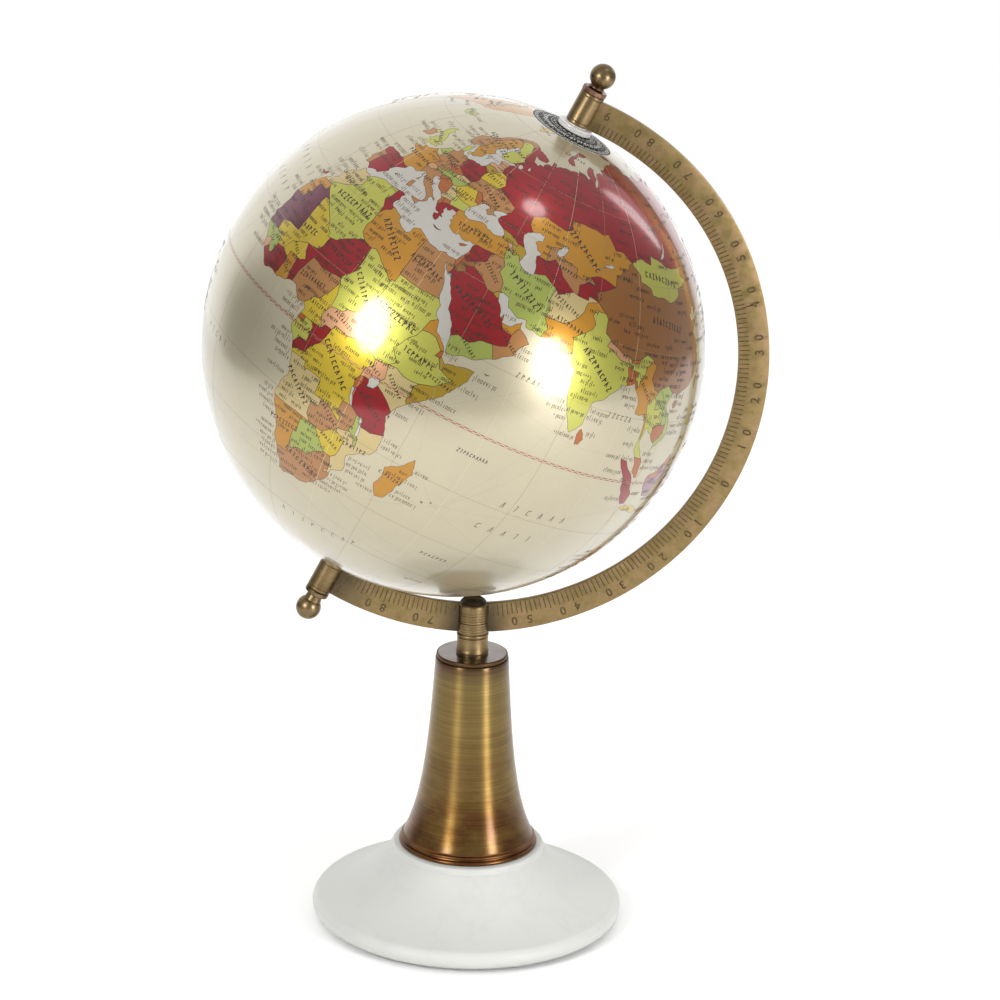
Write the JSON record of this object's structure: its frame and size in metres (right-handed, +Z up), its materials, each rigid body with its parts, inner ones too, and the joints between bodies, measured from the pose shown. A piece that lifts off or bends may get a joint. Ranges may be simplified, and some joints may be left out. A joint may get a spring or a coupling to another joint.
{
  "type": "desktop globe",
  "caption": "Tabletop globe whose ball spins on a tilted axis between the pivots of a flat brass meridian arc, on a flared column and round marble base.",
  "frame": {"origin": "on the column's axis, on the surface the felt rests on", "axes": "+Z up; +X towards the side where the meridian arc passes the ball, which is also the way the spin axis leans; -Y towards the viewer who sees the arc's face"},
  "size_m": [0.2294, 0.2032, 0.3671],
  "materials": {
    "white_marble": "honed white marble",
    "dark_felt": "felt",
    "antique_brass": "antiqued, lacquered, fine turning lines",
    "dark_brass": "dark patina",
    "zinc_steel": "zinc plated",
    "white_nylon": "satin",
    "ball_shell": "plain pressed board",
    "map_print": "pearl foil print under gloss lacquer"
  },
  "bodies": {
    "stand": {"base_disc": "white_marble", "base_felt": "dark_felt", "foot_ring": "antique_brass", "column_shell": "antique_brass", "column_cap": "antique_brass", "tie_rod": "zinc_steel", "tie_nut": "zinc_steel", "tie_washer": "zinc_steel", "stem": "antique_brass", "arc_set_screw": "zinc_steel", "meridian_arc": "antique_brass", "upper_sleeve": "antique_brass", "lower_sleeve": "antique_brass", "upper_finial": "antique_brass", "lower_finial": "antique_brass", "upper_lock_ring": "dark_brass"},
    "globe": {"north_shell": "ball_shell", "south_shell": "ball_shell", "equator_ring": "ball_shell", "north_map": "map_print", "south_map": "map_print", "upper_bush": "white_nylon", "lower_bush": "white_nylon", "upper_pole_washer": "white_nylon", "lower_pole_washer": "white_nylon"}
  },
  "joints": [
    {"name": "globe_spin", "type": "hinge", "parent": "stand", "child": "globe", "pos_m": [-0.01044, 0, 0.24947], "axis": [0.4509, 0, 0.8926], "continuous": true}
  ]
}
